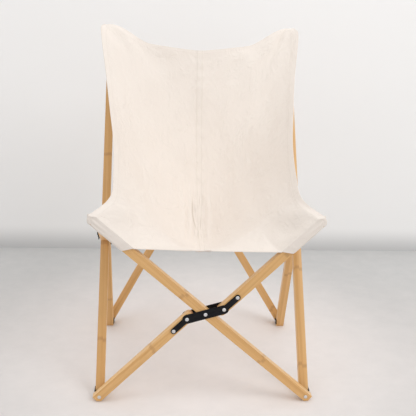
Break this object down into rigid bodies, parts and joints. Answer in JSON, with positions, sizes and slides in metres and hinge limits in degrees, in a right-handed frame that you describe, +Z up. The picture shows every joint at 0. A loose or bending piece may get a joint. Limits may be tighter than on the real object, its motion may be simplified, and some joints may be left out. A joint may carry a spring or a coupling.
{
  "type": "folding sling chair",
  "caption": "Butterfly lounge chair: a canvas sling with corner pockets hung on a folding frame of crossed square bamboo bars joined by black steel plates and brackets",
  "frame": {"origin": "middle of the footprint box, on the floor", "axes": "+X to the sitter's left as seen from the front (viewer's right), +Y from the front edge to the back, +Z up"},
  "size_m": [0.6026, 0.6942, 0.8941],
  "materials": {
    "bamboo": "clear satin lacquer on split bamboo bars, darker bands at the nodes",
    "steel": "black powder-coated sheet steel",
    "rivets": "bright zinc-plated rivets",
    "canvas": "cream cotton canvas, plain weave"
  },
  "bodies": {
    "right_front_foot": {"front_right_foot_bracket": "steel", "front_right_foot_side_rivet": "rivets", "front_right_foot_face_rivet": "rivets"},
    "front_bar": {"front_long_bar": "bamboo"},
    "front_halves": {"front_lower_bar": "bamboo", "front_upper_bar": "bamboo", "front_plate_outer": "steel", "front_plate_inner": "steel", "front_center_rivet": "rivets", "front_plate_rivet_1": "rivets", "front_plate_rivet_2": "rivets", "front_plate_rivet_3": "rivets", "front_plate_rivet_4": "rivets"},
    "back_bar": {"back_long_bar": "bamboo"},
    "back_halves": {"back_lower_bar": "bamboo", "back_upper_bar": "bamboo", "back_plate_outer": "steel", "back_plate_inner": "steel", "back_center_rivet": "rivets", "back_plate_rivet_1": "rivets", "back_plate_rivet_2": "rivets", "back_plate_rivet_3": "rivets", "back_plate_rivet_4": "rivets"},
    "left_front_foot": {"front_left_foot_bracket": "steel", "front_left_foot_side_rivet": "rivets", "front_left_foot_face_rivet": "rivets"},
    "left_front_top": {"front_left_top_bracket": "steel", "front_left_top_face_rivet": "rivets"},
    "right_front_top": {"front_right_top_bracket": "steel", "front_right_top_face_rivet": "rivets"},
    "left_back_top": {"back_left_top_bracket": "steel", "back_left_top_side_rivet": "rivets"},
    "right_back_top": {"back_right_top_bracket": "steel", "back_right_top_side_rivet": "rivets"},
    "left_back_foot": {"back_left_foot_bracket": "steel", "back_left_foot_side_rivet": "rivets"},
    "right_back_foot": {"back_right_foot_bracket": "steel", "back_right_foot_side_rivet": "rivets", "back_right_foot_face_rivet": "rivets"},
    "left_post_body": {"left_post": "bamboo", "left_pivot_rivet": "rivets"},
    "left_rail_body": {"left_seat_rail": "bamboo", "left_rail_plate_a": "steel", "left_rail_plate_b": "steel", "front_left_top_side_rivet": "rivets"},
    "left_leg_body": {"left_leg": "bamboo", "left_leg_plate_a": "steel", "left_leg_plate_b": "steel"},
    "right_post_body": {"right_post": "bamboo", "right_pivot_rivet": "rivets", "sling_back": "canvas"},
    "right_rail_body": {"right_seat_rail": "bamboo", "right_rail_plate_a": "steel", "right_rail_plate_b": "steel", "front_right_top_side_rivet": "rivets", "sling_seat": "canvas"},
    "right_leg_body": {"right_leg": "bamboo", "right_leg_plate_a": "steel", "right_leg_plate_b": "steel"}
  },
  "joints": [
    {"name": "front_fold", "type": "hinge", "parent": "right_front_foot", "child": "front_bar", "pos_m": [0.2609, -0.33171, 0.013], "axis": [0, 1, 0], "range_deg": [0, 44.24]},
    {"name": "front_scissor", "type": "hinge", "parent": "front_bar", "child": "front_halves", "pos_m": [0.0009, -0.33171, 0.237], "axis": [0, 1, 0], "range_deg": [-88.5, 0]},
    {"name": "left_front_foot_turn", "type": "hinge", "parent": "front_halves", "child": "left_front_foot", "pos_m": [-0.2591, -0.33171, 0.013], "axis": [0, 1, 0], "range_deg": [0, 44.26]},
    {"name": "left_front_top_turn", "type": "hinge", "parent": "front_bar", "child": "left_front_top", "pos_m": [-0.2591, -0.33171, 0.461], "axis": [0, 1, 0], "range_deg": [-44.26, 0]},
    {"name": "right_front_top_turn", "type": "hinge", "parent": "front_halves", "child": "right_front_top", "pos_m": [0.2609, -0.33171, 0.461], "axis": [0, 1, 0], "range_deg": [0, 44.26]},
    {"name": "right_post_lean", "type": "hinge", "parent": "right_front_foot", "child": "right_post_body", "pos_m": [0.2609, -0.30691, 0.013], "axis": [1, 0, 0], "range_deg": [0, 30.41], "deforming": ["sling_back"]},
    {"name": "right_rail_fold", "type": "hinge", "parent": "right_post_body", "child": "right_rail_body", "pos_m": [0.2609, -0.05297, 0.36112], "axis": [1, 0, 0], "range_deg": [-91.88, 0], "deforming": ["sling_seat"]},
    {"name": "right_leg_fold", "type": "hinge", "parent": "right_post_body", "child": "right_leg_body", "pos_m": [0.2609, -0.05297, 0.36112], "axis": [1, 0, 0], "range_deg": [-56.59, 0]},
    {"name": "right_back_foot_turn", "type": "hinge", "parent": "right_leg_body", "child": "right_back_foot", "pos_m": [0.2609, 0.13839, 0.013], "axis": [1, 0, 0], "range_deg": [0, 34.67]},
    {"name": "right_back_top_turn", "type": "hinge", "parent": "right_post_body", "child": "right_back_top", "pos_m": [0.2609, 0.29709, 0.841], "axis": [1, 0, 0], "range_deg": [-21.94, 0]},
    {"name": "left_post_lean", "type": "hinge", "parent": "left_front_foot", "child": "left_post_body", "pos_m": [-0.2591, -0.30691, 0.013], "axis": [1, 0, 0], "range_deg": [0, 30.41]},
    {"name": "left_rail_fold", "type": "hinge", "parent": "left_post_body", "child": "left_rail_body", "pos_m": [-0.2591, -0.05297, 0.36112], "axis": [1, 0, 0], "range_deg": [-91.88, 0]},
    {"name": "left_leg_fold", "type": "hinge", "parent": "left_post_body", "child": "left_leg_body", "pos_m": [-0.2591, -0.05297, 0.36112], "axis": [1, 0, 0], "range_deg": [-56.59, 0]},
    {"name": "left_back_foot_turn", "type": "hinge", "parent": "left_leg_body", "child": "left_back_foot", "pos_m": [-0.2591, 0.13839, 0.013], "axis": [1, 0, 0], "range_deg": [0, 34.67]},
    {"name": "left_back_top_turn", "type": "hinge", "parent": "left_post_body", "child": "left_back_top", "pos_m": [-0.2591, 0.29709, 0.841], "axis": [1, 0, 0], "range_deg": [-21.94, 0]},
    {"name": "back_fold", "type": "hinge", "parent": "right_back_foot", "child": "back_bar", "pos_m": [0.2609, 0.16275, 0.00833], "axis": [0, 0.9821, -0.1882], "range_deg": [0, 28.21]},
    {"name": "back_scissor", "type": "hinge", "parent": "back_bar", "child": "back_halves", "pos_m": [0.0009, 0.2421, 0.42233], "axis": [0, 0.9821, -0.1882], "range_deg": [-56.41, 0]}
  ],
  "couplings": [
    {"joint": "front_scissor", "follows": "front_fold", "ratio": -2},
    {"joint": "left_front_foot_turn", "follows": "front_fold", "ratio": 1},
    {"joint": "left_front_top_turn", "follows": "front_fold", "ratio": -1},
    {"joint": "right_front_top_turn", "follows": "front_fold", "ratio": 1},
    {"joint": "right_post_lean", "follows": "front_fold", "ratio": 0.68693},
    {"joint": "right_rail_fold", "follows": "front_fold", "ratio": -2.0764},
    {"joint": "right_leg_fold", "follows": "front_fold", "ratio": -1.2787},
    {"joint": "right_back_foot_turn", "follows": "front_fold", "ratio": 0.78325},
    {"joint": "right_back_top_turn", "follows": "front_fold", "ratio": -0.49548},
    {"joint": "left_post_lean", "follows": "front_fold", "ratio": 0.68693},
    {"joint": "left_rail_fold", "follows": "front_fold", "ratio": -2.0764},
    {"joint": "left_leg_fold", "follows": "front_fold", "ratio": -1.2787},
    {"joint": "left_back_foot_turn", "follows": "front_fold", "ratio": 0.78325},
    {"joint": "left_back_top_turn", "follows": "front_fold", "ratio": -0.49548},
    {"joint": "back_fold", "follows": "front_fold", "ratio": 0.6373},
    {"joint": "back_scissor", "follows": "front_fold", "ratio": -1.2746}
  ]
}
